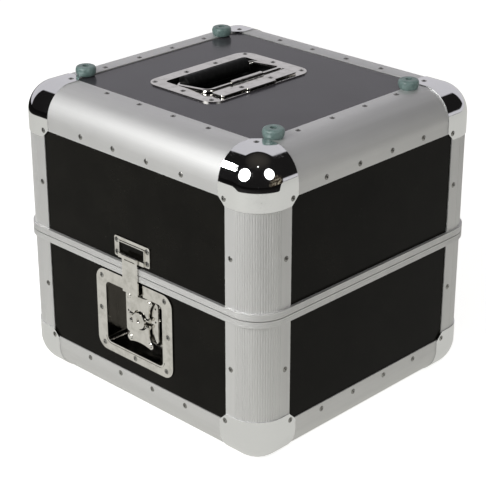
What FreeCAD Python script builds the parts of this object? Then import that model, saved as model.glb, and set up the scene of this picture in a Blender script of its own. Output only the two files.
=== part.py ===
"""Carrying case for twelve-inch records, in two halves of equal height.

Black laminated boards are held in rounded aluminium edge profiles and posts,
with pressed ball corners over every corner. The lid lifts straight off a
tongue-and-groove rail and is held by one butterfly latch at the front and one
at the back. A recessed bail handle and four rubber feet sit on the lid.

Frame: millimetres, +Z up, the front faces -Y, the origin is on the ground
under the middle of the case.
"""
import FreeCAD, Part
import math
import os

V = FreeCAD.Vector

# Whole case, measured over the ball corners
case_width = 380.0
case_depth = 357.0
case_height = 352.0
parting_share = 0.5

# The handle and the feet on the lid share a middle line
lid_middle_y = -3.0

# Boards, profiles and ball corners
board = 7.0
skin = 1.2
edge_radius = 35.0
flange_reach = 47.5
corner_sheet = 1.0
corner_reach = 57.0
corner_chamfer = 9.5
flute_count = 19
flute_radius = 0.9
flute_bite_share = 0.45

# Closure rails between the two halves
rail_height = 7.6
rail_proud = 2.6
rail_line = 1.0
rail_web_base = 3.0
rail_web_lid = 5.5
rail_lip = 2.2
rail_bead = 0.8
rail_bead_depth = 0.2
rail_bead_shares = (0.33, 0.68)
tongue_height = 3.5
tongue_width = 2.5
tongue_side_gap = 0.3
tongue_top_gap = 0.5

# Rivets
rivet_inset = 41.0
rivet_pitch_share = 0.4046
rivets_per_strip = 4
rivet_head_radius = 3.2
rivet_head_height = 0.9
rivet_shank_radius = 1.7
rivet_pit_radius = 1.0
rivet_pit_depth = 1.4
rivet_tail_radius = 2.5
rivet_tail_height = 1.0
rivet_hole_gap = 0.15
rivet_flush_depth = 0.1
corner_rivet_inset = 49.0
corner_top_inset_x = 46.7
corner_top_inset_y = 44.5

# Foam pads on the floor and under the top
foam_thickness = 6.0
foam_margin = 4.0
foam_corner = 10.0
soft_gap = 0.3

# Rubber feet on the lid, each held by a screw
foot_inset_x = 45.2
foot_corner_gap = 1.0
foot_height = 10.5
foot_base_radius = 9.8
foot_wide_radius = 11.6
foot_top_radius = 10.4
foot_wide_height = 4.8
foot_round = 2.8
foot_pocket_radius = 3.8
foot_pocket_depth = 4.2
screw_head_radius = 3.2
screw_head_height = 2.2
screw_radius = 1.6
screw_length = 18.0
screw_slot_width = 1.0
screw_slot_depth = 0.9
screw_hole_gap = 0.15

# Recessed handle on the lid
handle_centre_x = -24.75
handle_plate_x = 108.5
handle_plate_y = 160.0
handle_plate_corner = 18.0
handle_sheet = 1.5
handle_mouth_left = -63.0
handle_mouth_right = 6.0
handle_mouth_y = 126.0
handle_mouth_corner = 5.0
handle_cutout_gap = 0.5
handle_rivet_left = -70.0
handle_rivet_middle = -25.0
handle_rivet_right = 19.0
handle_rivet_pitch = 46.0
handle_rivet_reach = 71.5
tray_depth = 14.0
tray_sheet = 1.2
tray_flange_margin = 3.0
bail_pivot_x = 1.5
bail_pivot_rise = 1.5
bail_bar_radius = 3.0
bail_length = 49.7
bail_width = 118.0
bail_bend = 7.0
bail_droop_deg = 5.2
grip_radius = 8.5
grip_length = 98.0
grip_groove_count = 9
grip_groove_radius = 0.7
grip_end_round = 1.6
grip_bore_gap = 0.05
knuckle_radius = 4.6
knuckle_length = 48.0
pivot_gap = 0.1
hinge_strip_left = 6.3
hinge_strip_right = 24.0
hinge_strip_wide = 27.0
hinge_strip_middle = 45.0
hinge_strip_length = 118.0
hinge_strip_sheet = 1.4
hinge_strip_rise = 1.0
hinge_strip_corner = 3.0
hinge_rivet_x = 17.0
hinge_foot_length = 10.0
hinge_foot_width = 9.0

# Butterfly latches, one at the front and one at the back
latch_bottom_gap = 16.0
latch_top_gap = 3.9
latch_plate_x = 122.0
latch_plate_rise = 0.5
latch_plate_corner = 14.0
latch_sheet = 1.5
latch_wall = 1.2
latch_well_x = 90.8
latch_well_low_share = 0.76
latch_well_high_share = 0.728
latch_well_corner = 6.0
latch_well_depth = 15.5
latch_notch_half = 15.5
latch_notch_share = 0.94
latch_cutout_gap = 0.5
latch_bead_offset = 1.8
latch_bead_width = 0.8
latch_bead_depth = 0.4
latch_rivet_shares = ((-0.85, 0.82), (0.81, 0.85), (-0.89, 0.014), (0.89, 0.014),
                      (-0.83, -0.842), (0.83, -0.842), (0.0, -0.906))
hook_travel = 8.0
hook_sheet = 1.6
hook_depth = 11.6
hook_half = 26.0
hook_rim = 10.05
hook_top_gap = 1.4
hook_corner = 4.0
strap_half = 12.2
strap_clear = 0.4
strap_notch_gap = 0.6
strap_end_rise = 8.0
strap_slot_length = 17.0
strap_slot_width = 1.2
strap_slot_rise = 1.8
strap_roll_radius = 1.3
hook_hole_radius = 1.3
hook_hole_x = 22.0
hook_hole_shares = (0.53, 0.857)
cam_offset_share = 0.5
cam_radius = 7.0
cam_side_gap = 0.3
cam_lift_gap = 0.95
boss_radius = 9.5
boss_front = 5.6
boss_gap = 0.6
boss_pit_radius = 2.8
boss_pit_depth = 1.5
collar_radius = 8.0
collar_gap = 0.4
floor_gap = 0.3
journal_radius = 4.0
journal_gap = 0.1
peen_radius = 6.0
peen_height = 1.1
wing_front = 8.0
wing_sheet = 1.6
wing_pin_offset = 4.2
wing_pin_radius = 1.2
wing_pin_seat_gap = 0.03
wing_pin_gap = 0.08
wing_knuckle_radius = 2.2
wing_knuckle_inner = 11.0
wing_knuckle_outer = 15.6
wing_root_half = 14.5
wing_waist_half = 14.6
wing_waist_share = 0.43
wing_tip_half = 20.8
wing_tip_gap = 7.5
wing_tip_round = 5.0
wing_tail_dip = 2.4
wing_boss_clear = 11.8
wing_pad_radius = 3.0
wing_pad_height = 0.7
keeper_gap = 4.4
keeper_height = 24.0
keeper_half = 28.0
keeper_sheet = 1.5
keeper_corner = 2.5
keeper_window_half = 19.5
keeper_window_rise = 6.0
keeper_window_height = 12.6
keeper_rim = 1.2
keeper_rim_height = 0.9
keeper_bar_rise = 0.6
keeper_bar_height = 4.8
keeper_bar_end_gap = 0.4
keeper_bar_sheet = 1.4
keeper_bar_clear = 0.5
keeper_rivet_half = 24.2
keeper_rivet_shares = (0.2, 0.8)

# Cutting tools reach this far past what they cut
overrun = 5.0

half_x = case_width / 2 - corner_sheet
half_y = case_depth / 2 - corner_sheet
z_low = corner_sheet
z_high = case_height - corner_sheet
parting = case_height * parting_share
board_inside = skin + board
flange_inside = board_inside + skin
rivet_pitch = (case_depth / 2 - corner_rivet_inset) * rivet_pitch_share


def outline(start, steps):
    """A closed face in the XY plane. A step is an end point, or a mid point and an end point of an arc."""
    edges = []
    here = V(start[0], start[1], 0)
    for step in steps:
        if isinstance(step[0], tuple):
            mid = V(step[0][0], step[0][1], 0)
            end = V(step[1][0], step[1][1], 0)
            edges.append(Part.Arc(here, mid, end).toShape())
        else:
            end = V(step[0], step[1], 0)
            edges.append(Part.LineSegment(here, end).toShape())
        here = end
    return Part.Face(Part.Wire(edges))


def box(x0, x1, y0, y1, z0, z1):
    return Part.makeBox(x1 - x0, y1 - y0, z1 - z0, V(x0, y0, z0))


def rounded_face(half_a, half_b, radius):
    """A rectangle with round corners in the XY plane, about the origin."""
    bow = radius * (1 - math.sqrt(0.5))
    return outline((-half_a + radius, -half_b), [
        (half_a - radius, -half_b),
        ((half_a - bow, -half_b + bow), (half_a, -half_b + radius)),
        (half_a, half_b - radius),
        ((half_a - bow, half_b - bow), (half_a - radius, half_b)),
        (-half_a + radius, half_b),
        ((-half_a + bow, half_b - bow), (-half_a, half_b - radius)),
        (-half_a, -half_b + radius),
        ((-half_a + bow, -half_b + bow), (-half_a + radius, -half_b)),
    ])


def slab(half_a, half_b, radius, z0, z1):
    """A plate with round corners, from z0 to z1, about the Z axis."""
    plate = rounded_face(half_a, half_b, radius).extrude(V(0, 0, z1 - z0))
    plate.translate(V(0, 0, z0))
    return plate


def turned(points):
    """A solid of revolution about Z from (radius, height) points."""
    edges = []
    count = len(points)
    for i in range(count):
        a = points[i]
        b = points[(i + 1) % count]
        edges.append(Part.LineSegment(V(a[0], 0, a[1]), V(b[0], 0, b[1])).toShape())
    face = Part.Face(Part.Wire(edges))
    return face.revolve(V(0, 0, 0), V(0, 0, 1), 360)


def mirrored(shape, axis):
    normal = {"x": V(1, 0, 0), "y": V(0, 1, 0), "z": V(0, 0, 1)}[axis]
    middle = V(0, 0, case_height / 2) if axis == "z" else V(0, 0, 0)
    return shape.mirror(middle, normal)


def standing(shape):
    """Turns a shape drawn in XY with depth along Z so that it stands in XZ with its depth along +Y."""
    shape.rotate(V(0, 0, 0), V(1, 0, 0), 90)
    return shape.mirror(V(0, 0, 0), V(0, 1, 0))


# Rivets: a site is a point on the outer surface, the way out, and the grip behind it

def rivet(grip, flush=False):
    """A blind rivet with its head above the origin and its shank going down."""
    dome = (rivet_head_radius ** 2 + rivet_head_height ** 2) / (2 * rivet_head_height)
    pit_edge = rivet_head_height - dome + math.sqrt(dome ** 2 - rivet_pit_radius ** 2)
    foot_of_tail = -grip - rivet_tail_height
    if flush:
        top = -rivet_flush_depth
        seat = -corner_sheet
        rim = [V(rivet_pit_radius, 0, top), V(rivet_head_radius, 0, top), V(rivet_head_radius, 0, seat)]
        head = [Part.LineSegment(rim[0], rim[1]).toShape(), Part.LineSegment(rim[1], rim[2]).toShape()]
        pit_top = top
    else:
        seat = 0
        mid_radius = (rivet_pit_radius + rivet_head_radius) / 2
        mid_height = rivet_head_height - dome + math.sqrt(dome ** 2 - mid_radius ** 2)
        head = [Part.Arc(V(rivet_pit_radius, 0, pit_edge), V(mid_radius, 0, mid_height),
                         V(rivet_head_radius, 0, 0)).toShape()]
        pit_top = pit_edge
    points = [
        V(rivet_head_radius, 0, seat),
        V(rivet_shank_radius, 0, seat),
        V(rivet_shank_radius, 0, -grip),
        V(rivet_tail_radius, 0, -grip),
        V(rivet_tail_radius, 0, foot_of_tail),
        V(0, 0, foot_of_tail),
        V(0, 0, -rivet_pit_depth),
        V(rivet_pit_radius, 0, -rivet_pit_depth),
        V(rivet_pit_radius, 0, pit_top),
    ]
    edges = list(head)
    for a, b in zip(points, points[1:]):
        edges.append(Part.LineSegment(a, b).toShape())
    face = Part.Face(Part.Wire(edges))
    return face.revolve(V(0, 0, 0), V(0, 0, 1), 360)


def set_rivets(sites):
    """One solid for each site."""
    solids = []
    for point, out, grip, flush in sites:
        piece = rivet(grip, flush)
        turn = FreeCAD.Rotation(V(0, 0, 1), out)
        piece.Placement = FreeCAD.Placement(point, turn)
        solids.append(piece)
    return Part.makeCompound(solids)


def drilled(shape, sites):
    """The shape with a hole for every rivet that goes through it."""
    tools = []
    for point, out, grip, flush in sites:
        radius = rivet_shank_radius + rivet_hole_gap
        start = point + out * overrun
        tool = Part.makeCylinder(radius, overrun + grip + overrun, start, out * -1)
        if tool.BoundBox.intersect(shape.BoundBox):
            tools.append(tool)
    return shape.cut(Part.makeCompound(tools)) if tools else shape


def strip_offsets():
    middle = (rivets_per_strip - 1) / 2
    return [(i - middle) * rivet_pitch for i in range(rivets_per_strip)]


def shell_rivet_sites(lid):
    """Sites on the edge profiles, posts and ball corners of one half."""
    sites = []
    grip = flange_inside
    level = z_high if lid else z_low
    up = V(0, 0, 1) if lid else V(0, 0, -1)
    side_z = case_height - rivet_inset if lid else rivet_inset
    run = [(x, y) for x in (-1, 1) for y in (-1, 1)]
    for sign in (-1, 1):
        for offset in strip_offsets():
            sites.append((V(offset, sign * half_y, side_z), V(0, sign, 0), grip, False))
            sites.append((V(offset, sign * (case_depth / 2 - rivet_inset), level), up, grip, False))
            sites.append((V(sign * half_x, offset, side_z), V(sign, 0, 0), grip, False))
            sites.append((V(sign * (case_width / 2 - rivet_inset), offset, level), up, grip, False))
    rail_edge = parting + rail_height if lid else parting - rail_height
    corner_edge = case_height - corner_reach if lid else corner_reach
    post_z = (rail_edge + corner_edge) / 2
    corner_z = case_height - corner_rivet_inset if lid else corner_rivet_inset
    outer = case_height if lid else 0
    for sx, sy in run:
        sites.append((V(sx * (case_width / 2 - rivet_inset), sy * half_y, post_z), V(0, sy, 0), grip, False))
        sites.append((V(sx * half_x, sy * (case_depth / 2 - rivet_inset), post_z), V(sx, 0, 0), grip, False))
        near_x = sx * (case_width / 2 - corner_rivet_inset)
        near_y = sy * (case_depth / 2 - corner_rivet_inset)
        thick = grip + corner_sheet
        sites.append((V(near_x, sy * case_depth / 2, corner_z), V(0, sy, 0), thick, False))
        sites.append((V(sx * case_width / 2, near_y, corner_z), V(sx, 0, 0), thick, False))
        top_x = sx * (case_width / 2 - corner_top_inset_x)
        top_y = sy * (case_depth / 2 - corner_top_inset_y)
        sites.append((V(top_x, top_y, outer), up, thick, not lid))
    return sites


# Edge profiles and posts

def profile_section():
    """Two slots for boards, joined by a hollow quarter round. X and Y run inwards from the two faces."""
    r = edge_radius
    f = flange_reach
    inner = r - flange_inside
    bow = math.sqrt(0.5)
    section = outline((0, f), [
        (0, r),
        ((r - r * bow, r - r * bow), (r, 0)),
        (f, 0),
        (f, skin),
        (r, skin),
        (r, board_inside),
        (f, board_inside),
        (f, flange_inside),
        (r, flange_inside),
        ((r - inner * bow, r - inner * bow), (flange_inside, r)),
        (flange_inside, f),
        (board_inside, f),
        (board_inside, r),
        (skin, r),
        (skin, f),
        (0, f),
    ])
    outer = r - skin
    inner_wall = r - board_inside
    lean = skin / outer

    def at(radius, angle):
        return (r - radius * math.cos(angle), r - radius * math.sin(angle))

    quarter = math.pi / 2
    hollow = outline(at(outer, lean), [
        (at(outer, quarter / 2), at(outer, quarter - lean)),
        at(inner_wall, quarter - lean),
        (at(inner_wall, quarter / 2), at(inner_wall, lean)),
        at(outer, lean),
    ])
    return section.cut(hollow)


def profile_bar(start, end, fluted=False):
    """A length of profile along X. Its faces are Y = 0, inwards +Y, and Z = 0, inwards -Z."""
    bar = profile_section().extrude(V(0, 0, end - start))
    bar.rotate(V(0, 0, 0), V(0, 1, 0), 90)
    bar.translate(V(start, 0, 0))
    if not fluted:
        return bar
    tools = []
    reach = edge_radius + flute_radius * (1 - flute_bite_share)
    for i in range(flute_count):
        angle = math.pi / 2 * (i + 1) / (flute_count + 1)
        y = edge_radius - reach * math.cos(angle)
        z = edge_radius - reach * math.sin(angle)
        length = end - start + 2 * overrun
        tools.append(Part.makeCylinder(flute_radius, length, V(start - overrun, y, -z), V(1, 0, 0)))
    return bar.cut(Part.makeCompound(tools))


def mitred(bar, far, near=None):
    """Cuts the bar's ends to meet its neighbours at a corner. The ends are the neighbours' outer faces."""
    right = [(far - edge_radius, 0), (far - edge_radius, edge_radius), (far - flange_reach, flange_reach)]
    if near is None:
        left = [(-x, y) for x, y in reversed(right)]
    else:
        left = [(near, flange_reach), (near, 0)]
    points = left + right
    face = outline(points[0], points[1:] + [points[0]])
    along_y = face.extrude(V(0, 0, -flange_reach))
    along_z = face.extrude(V(0, 0, flange_reach))
    along_z.rotate(V(0, 0, 0), V(1, 0, 0), -90)
    return bar.common(along_y).common(along_z)


def edge_along_x():
    """The edge profile at the front of the top."""
    edge = mitred(profile_bar(-half_x, half_x), half_x)
    edge.translate(V(0, -half_y, z_high))
    return edge


def edge_along_y():
    """The edge profile at the right of the top."""
    edge = mitred(profile_bar(-half_y, half_y), half_y)
    edge.rotate(V(0, 0, 0), V(0, 0, 1), 90)
    edge.translate(V(half_x, 0, z_high))
    return edge


def post(z_start):
    """The front right post of the lid, from the rail's edge up to the ball corner."""
    bar = mitred(profile_bar(z_start, z_high, fluted=True), z_high, near=z_start)
    upright = FreeCAD.Matrix(0, -1, 0, half_x, 0, 0, -1, -half_y, 1, 0, 0, 0, 0, 0, 0, 1)
    bar.Placement = FreeCAD.Placement(upright)
    return bar


# Ball corners

def corner_block(inset, radius):
    """The rounded corner of the case, front right top, as a solid block."""
    reach = corner_reach + overrun
    x1 = case_width / 2 - inset
    y0 = -case_depth / 2 + inset
    z1 = case_height - inset
    block = box(x1 - reach, x1, y0, y0 + reach, z1 - reach, z1)
    rounded = []
    for edge in block.Edges:
        mid = edge.BoundBox.Center
        on_x = abs(mid.x - x1) < inset + radius / 2
        on_y = abs(mid.y - y0) < inset + radius / 2
        on_z = abs(mid.z - z1) < inset + radius / 2
        if [on_x, on_y, on_z].count(True) == 2:
            rounded.append(edge)
    return block.makeFillet(radius, rounded)


def ball_corner():
    """The pressed corner at the front right of the top."""
    shell = corner_block(0, edge_radius + corner_sheet).cut(corner_block(corner_sheet, edge_radius))
    x1 = case_width / 2
    y0 = -case_depth / 2
    z1 = case_height
    reach = corner_reach
    cube = box(x1 - reach, x1, y0, y0 + reach, z1 - reach, z1)
    inner = V(x1 - reach, y0 + reach, z1 - reach)
    cut_edges = [e for e in cube.Edges if (e.Vertexes[0].Point - inner).Length < corner_sheet
                 or (e.Vertexes[1].Point - inner).Length < corner_sheet]
    return shell.common(cube.makeChamfer(corner_chamfer, cut_edges))


# Closure rails

def ring(outer_t, inner_t, z0, z1):
    """A ring that follows the case. The two depths are measured inwards from the profiles' face."""
    outer = slab(half_x - outer_t, half_y - outer_t, edge_radius - outer_t, z0, z1)
    inner = slab(half_x - inner_t, half_y - inner_t, edge_radius - inner_t, z0 - overrun, z1 + overrun)
    return outer.cut(inner)


def closure_rail(lid):
    """The rail drawn as the lid's, with a groove, or mirrored for the base, with a tongue."""
    rail_web = rail_web_lid if lid else rail_web_base
    lip = ring(-rail_proud, skin, rail_line / 2, rail_height)
    web = ring(skin, board_inside + rail_lip, 0, rail_web)
    inside = ring(board_inside, board_inside + rail_lip, 0, rail_height)
    rail = lip.fuse([web, inside]).removeSplitter()
    beads = []
    for share in rail_bead_shares:
        low = rail_line / 2 + (rail_height - rail_line / 2) * share - rail_bead / 2
        beads.append(ring(-rail_proud - overrun, -rail_proud + rail_bead_depth, low, low + rail_bead))
    rail = rail.cut(Part.makeCompound(beads))
    middle = skin + board / 2
    if lid:
        half = tongue_width / 2 + tongue_side_gap
        rail = rail.cut(ring(middle - half, middle + half, -overrun, tongue_height + tongue_top_gap))
        rail.translate(V(0, 0, parting))
    else:
        half = tongue_width / 2
        rail = rail.fuse(ring(middle - half, middle + half, -tongue_height, rail_web / 2)).removeSplitter()
        rail = rail.mirror(V(0, 0, 0), V(0, 0, 1))
        rail.translate(V(0, 0, parting))
    return rail


# Boards

def wall_boards(lid):
    """Front and right boards of one half."""
    low = parting + rail_web_lid if lid else z_low + edge_radius
    high = z_high - edge_radius if lid else parting - rail_web_base
    front = box(-half_x + edge_radius, half_x - edge_radius, -half_y + skin, -half_y + board_inside, low, high)
    right = box(half_x - board_inside, half_x - skin, -half_y + edge_radius, half_y - edge_radius, low, high)
    return front, right


def flat_board(lid):
    low = z_high - board_inside if lid else z_low + skin
    return box(-half_x + edge_radius, half_x - edge_radius, -half_y + edge_radius, half_y - edge_radius,
               low, low + board)


def foam_pad(lid):
    half_a = half_x - flange_reach - foam_margin
    half_b = half_y - flange_reach - foam_margin
    low = z_high - board_inside - soft_gap - foam_thickness if lid else z_low + board_inside + soft_gap
    return slab(half_a, half_b, foam_corner, low, low + foam_thickness)


# Feet

def foot_places():
    """Just clear of the front ball corners, and as far back at the other end of the lid's fittings."""
    reach = case_depth / 2 - corner_reach - foot_corner_gap - foot_base_radius + lid_middle_y
    return [(sx * (case_width / 2 - foot_inset_x), lid_middle_y + sy * reach)
            for sy in (-1, 1) for sx in (-1, 1)]


def foot_holes():
    """Holes for the foot screws, through profile and board."""
    holes = []
    for x, y in foot_places():
        holes.append(Part.makeCylinder(screw_radius + screw_hole_gap, 2 * screw_length,
                                       V(x, y, z_high - screw_length)))
    return Part.makeCompound(holes)


def foot():
    """A rubber foot about the Z axis, standing on Z = 0, with a pocket for its screw."""
    side = outline((0, 0), [
        (foot_base_radius, 0),
        ((foot_wide_radius, foot_wide_height), (foot_top_radius, foot_height)),
        (0, foot_height),
        (0, 0),
    ])
    side.rotate(V(0, 0, 0), V(1, 0, 0), 90)
    body = side.revolve(V(0, 0, 0), V(0, 0, 1), 360)
    rim = [e for e in body.Edges if e.BoundBox.ZMin > foot_height - screw_slot_depth]
    body = body.makeFillet(foot_round, rim)
    pocket = Part.makeCylinder(foot_pocket_radius, foot_pocket_depth + overrun,
                               V(0, 0, foot_height - foot_pocket_depth))
    bore = Part.makeCylinder(screw_radius + screw_hole_gap, foot_height + overrun, V(0, 0, -overrun))
    return body.cut(pocket).cut(bore)


def foot_screw():
    """A slotted pan-head screw, its head seated in the foot's pocket."""
    seat = foot_height - foot_pocket_depth
    screw = turned([
        (0, seat + screw_head_height), (screw_head_radius * math.sqrt(0.5), seat + screw_head_height),
        (screw_head_radius, seat + screw_head_height / 2), (screw_head_radius, seat),
        (screw_radius, seat), (screw_radius, seat - screw_length + screw_radius),
        (0, seat - screw_length),
    ])
    slot = box(-screw_head_radius, screw_head_radius, -screw_slot_width / 2, screw_slot_width / 2,
               seat + screw_head_height - screw_slot_depth, seat + screw_head_height + overrun)
    return screw.cut(slot)


# Recessed handle

handle_face = z_high - skin
handle_top = handle_face + handle_sheet
board_under = z_high - board_inside
pivot = V(bail_pivot_x, lid_middle_y, handle_top + bail_pivot_rise)


def mouth_block(grow, low, high):
    """The opening of the handle, grown by a wall or a gap."""
    half = (handle_mouth_right - handle_mouth_left) / 2
    block = slab(half + grow, handle_mouth_y / 2 + grow, handle_mouth_corner + grow, low, high)
    block.translate(V(handle_mouth_left + half, lid_middle_y, 0))
    return block


def plate_block(shrink, low, high):
    """The outline of the handle's plate, made smaller by a margin."""
    corner = handle_plate_corner - shrink
    block = slab(handle_plate_x / 2 - shrink, handle_plate_y / 2 - shrink, corner, low, high)
    block.translate(V(handle_centre_x, lid_middle_y, 0))
    return block


def handle_plate():
    mouth = mouth_block(0, handle_face - overrun, handle_top + overrun)
    return plate_block(0, handle_face, handle_top).cut(mouth)


def handle_tray():
    """The black tray below the opening, with a flange under the board."""
    bottom = handle_top - tray_depth
    shell = mouth_block(tray_sheet, bottom - tray_sheet, handle_face)
    flange = plate_block(tray_flange_margin, board_under - tray_sheet, board_under)
    return shell.fuse(flange).cut(mouth_block(0, bottom, handle_top)).removeSplitter()


def handle_rivet_sites():
    grip = handle_sheet + board + tray_sheet
    places = []
    for side in (-1, 1):
        places.append((handle_rivet_left, side * handle_rivet_reach))
        places.append((handle_rivet_left, side * handle_rivet_pitch / 2))
        places.append((handle_rivet_middle, side * handle_rivet_reach))
        places.append((handle_rivet_right, side * handle_rivet_reach))
    return [(V(x, lid_middle_y + y, handle_top), V(0, 0, 1), grip, False) for x, y in places]


def hinge_rivet_sites():
    """Two longer rivets through the hinge strip, its feet, the plate and the board."""
    rise = hinge_strip_rise + hinge_strip_sheet
    grip = handle_sheet + board + tray_sheet + rise
    sites = []
    for side in (-1, 1):
        y = lid_middle_y + side * handle_rivet_pitch / 2
        sites.append((V(hinge_rivet_x, y, handle_top + rise), V(0, 0, 1), grip, False))
    return sites


def hinge_strip():
    """The raised strip whose rolled knuckle holds the bail."""
    low = handle_top + hinge_strip_rise
    high = low + hinge_strip_sheet

    def bar(left, right, length):
        piece = slab((right - left) / 2, length / 2, hinge_strip_corner, low, high)
        piece.translate(V((left + right) / 2, lid_middle_y, 0))
        return piece

    strip = bar(hinge_strip_left, hinge_strip_right, hinge_strip_length)
    strip = strip.fuse(bar(hinge_strip_left, hinge_strip_wide, hinge_strip_middle))
    half = hinge_strip_middle / 2
    strip = strip.fuse(box(pivot.x, hinge_rivet_x, lid_middle_y - half, lid_middle_y + half, low, high))
    for side in (-1, 1):
        y = lid_middle_y + side * handle_rivet_pitch / 2
        strip = strip.fuse(box(hinge_rivet_x - hinge_foot_width / 2, hinge_rivet_x + hinge_foot_width / 2,
                               y - hinge_foot_length / 2, y + hinge_foot_length / 2, handle_top, high))
    start = V(pivot.x, pivot.y - knuckle_length / 2, pivot.z)
    strip = strip.fuse(Part.makeCylinder(knuckle_radius, knuckle_length, start, V(0, 1, 0)))
    bore = Part.makeCylinder(bail_bar_radius + pivot_gap, knuckle_length + 2 * overrun,
                             start - V(0, overrun, 0), V(0, 1, 0))
    return strip.cut(bore).removeSplitter()


def bail_turned(shape):
    """Drops the far side of the bail into the tray."""
    shape.rotate(V(0, 0, 0), V(0, 1, 0), -bail_droop_deg)
    shape.translate(pivot)
    return shape


def quarter_bend(centre, turn, side):
    """A quarter of a ring in the XY plane, at the +Y side or mirrored to the -Y side."""
    circle = Part.Circle(V(bail_bend, 0, 0), V(0, 1, 0), bail_bar_radius)
    piece = Part.Face(Part.Wire(circle.toShape())).revolve(V(0, 0, 0), V(0, 0, 1), 90)
    piece.rotate(V(0, 0, 0), V(0, 0, 1), turn)
    piece.translate(centre)
    return piece if side > 0 else piece.mirror(V(0, 0, 0), V(0, 1, 0))


def bail():
    """A round bar bent to a closed loop. It is drawn flat, with the pivot bar on the Y axis."""
    half = bail_width / 2
    start = half - bail_bend
    bars = []
    for x in (0, -bail_length):
        bars.append(Part.makeCylinder(bail_bar_radius, 2 * start, V(x, -start, 0), V(0, 1, 0)))
    for side in (-1, 1):
        bars.append(Part.makeCylinder(bail_bar_radius, bail_length - 2 * bail_bend,
                                      V(-bail_bend, side * half, 0), V(-1, 0, 0)))
        bars.append(quarter_bend(V(-bail_bend, start, 0), 0, side))
        bars.append(quarter_bend(V(-bail_length + bail_bend, start, 0), 90, side))
    return bail_turned(bars[0].fuse(bars[1:]))


def bail_grip():
    """The rubber sleeve on the bail's far bar, with shallow rings round it."""
    sleeve = Part.makeCylinder(grip_radius, grip_length, V(-bail_length, -grip_length / 2, 0), V(0, 1, 0))
    rims = [e for e in sleeve.Edges if e.BoundBox.YLength < grip_end_round]
    sleeve = sleeve.makeFillet(grip_end_round, rims)
    bore = Part.makeCylinder(bail_bar_radius + grip_bore_gap, grip_length + 2 * overrun,
                             V(-bail_length, -grip_length / 2 - overrun, 0), V(0, 1, 0))
    sleeve = sleeve.cut(bore)
    for i in range(grip_groove_count):
        y = grip_length * ((i + 1) / (grip_groove_count + 1) - 1 / 2)
        groove = Part.makeTorus(grip_radius + grip_groove_radius / 2, grip_groove_radius,
                                V(-bail_length, y, 0), V(0, 1, 0))
        sleeve = sleeve.cut(groove)
    return bail_turned(sleeve)


# Butterfly latch, drawn in XY with its depth along +Z from the profiles' face, then stood up

latch_low = z_low + flange_reach + latch_bottom_gap
latch_half_z = (parting - rail_height - latch_top_gap - latch_low) / 2
latch_height = latch_low + latch_half_z - latch_plate_rise
latch_well_low = -latch_half_z * latch_well_low_share
latch_well_high = latch_half_z * latch_well_high_share
latch_notch_top = latch_half_z * latch_notch_share
cam_offset = hook_travel * cam_offset_share
flange_front = skin - latch_sheet
hook_back = hook_depth + hook_sheet
hook_low = -(cam_offset + cam_radius + cam_lift_gap + hook_rim)
hook_high = latch_well_high - hook_travel - hook_top_gap
strap_step = latch_notch_top - hook_travel - hook_sheet - strap_notch_gap
strap_inside = -rail_proud - strap_clear
strap_outside = strap_inside - hook_sheet
wing_pin_depth = wing_front + wing_sheet / 2
boss_back = hook_depth - boss_gap
floor_back = latch_well_depth + latch_wall
wing_reach = -latch_well_low - wing_tip_gap
keeper_low = parting + rail_height + keeper_gap - latch_height


def latch_well(grow, front, back):
    """The space of the latch, with the slot that lets the hook rise."""
    half = (latch_well_high - latch_well_low) / 2
    well = slab(latch_well_x / 2 + grow, half + grow, latch_well_corner + grow, front, back)
    well.translate(V(0, latch_well_low + half, 0))
    slot = box(-latch_notch_half - grow, latch_notch_half + grow, 0, latch_notch_top + grow, front, back)
    return well.fuse(slot).removeSplitter()


def latch_dish():
    """The riveted dish with its flange, its well and a pressed line below the well."""
    plate = slab(latch_plate_x / 2, latch_half_z, latch_plate_corner, flange_front, skin)
    plate.translate(V(0, latch_plate_rise, 0))
    dish = plate.fuse(latch_well(latch_wall, skin - latch_wall, floor_back))
    dish = dish.cut(latch_well(0, flange_front - overrun, latch_well_depth)).removeSplitter()
    half = (latch_well_high - latch_well_low) / 2
    near = latch_bead_offset
    far = near + latch_bead_width
    outer = slab(latch_well_x / 2 + far, half + far, latch_well_corner + far,
                 flange_front - overrun, flange_front + latch_bead_depth)
    inner = slab(latch_well_x / 2 + near, half + near, latch_well_corner + near,
                 flange_front - 2 * overrun, flange_front + overrun)
    bead = outer.cut(inner)
    bead.translate(V(0, latch_well_low + half, 0))
    bead_top = latch_well_low + latch_well_corner
    bead = bead.common(box(-latch_plate_x, latch_plate_x, 2 * latch_well_low, bead_top,
                           -latch_well_depth, latch_well_depth))
    hole = Part.makeCylinder(journal_radius + journal_gap, 2 * overrun, V(0, 0, latch_well_depth - overrun))
    return dish.cut(bead).cut(hole)


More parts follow.
